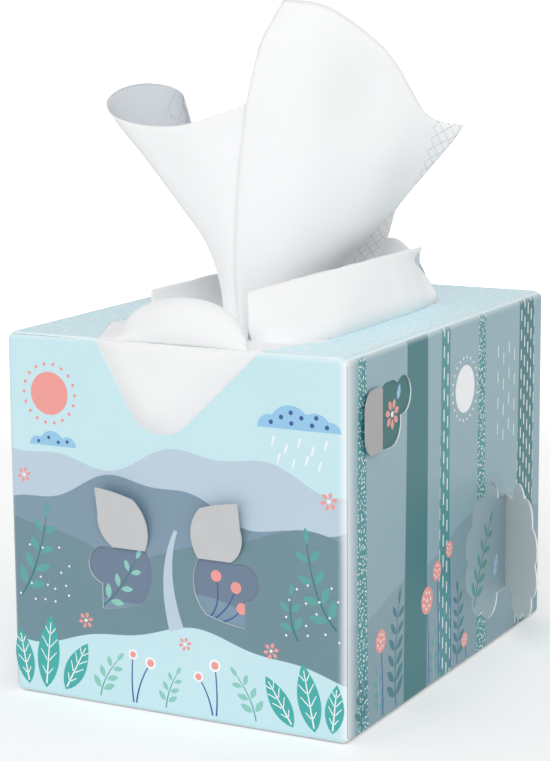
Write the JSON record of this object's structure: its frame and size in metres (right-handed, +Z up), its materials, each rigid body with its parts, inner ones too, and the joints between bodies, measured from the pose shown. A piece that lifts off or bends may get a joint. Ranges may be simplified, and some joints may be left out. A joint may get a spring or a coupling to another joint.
{
  "type": "tissue box",
  "caption": "Upright printed board tissue box with a front dip in its top opening, die-cut hinged flaps, a pile of tissues, one pulled up and the next bunched round the opening.",
  "frame": {"origin": "middle of the box's underside, on the surface that it stands on", "axes": "+Z up; -Y towards the front wall with the dip; +X towards the right wall with the two side flaps"},
  "size_m": [0.1449, 0.164, 0.2247],
  "materials": {
    "printed_board": "satin",
    "liner_board": "satin",
    "flap_board": "matte",
    "tissue": "matte"
  },
  "bodies": {
    "root": {"carton": "printed_board", "inner_liner": "liner_board", "tissue_stack": "tissue", "next_tissue": "tissue", "pulled_tissue": "tissue"},
    "front_left_flap": {"front_left_flap": "flap_board"},
    "front_right_flap": {"front_right_flap": "flap_board"},
    "side_upper_flap": {"side_upper_flap": "flap_board"},
    "side_lower_flap": {"side_lower_flap": "flap_board"}
  },
  "joints": [
    {"name": "front_left_hinge", "type": "hinge", "parent": "root", "child": "front_left_flap", "pos_m": [-0.016, -0.08, 0.053], "axis": [-1, 0, 0], "range_deg": [-170, 8]},
    {"name": "front_right_hinge", "type": "hinge", "parent": "root", "child": "front_right_flap", "pos_m": [0.015, -0.08, 0.053], "axis": [-1, 0, 0], "range_deg": [-170, 8]},
    {"name": "side_upper_hinge", "type": "hinge", "parent": "root", "child": "side_upper_flap", "pos_m": [0.061, -0.0565, 0.098], "axis": [0, 0, -1], "range_deg": [-176, 2]},
    {"name": "side_lower_hinge", "type": "hinge", "parent": "root", "child": "side_lower_flap", "pos_m": [0.061, 0.048, 0.035], "axis": [0, 0, 1], "range_deg": [-38, 140]}
  ]
}
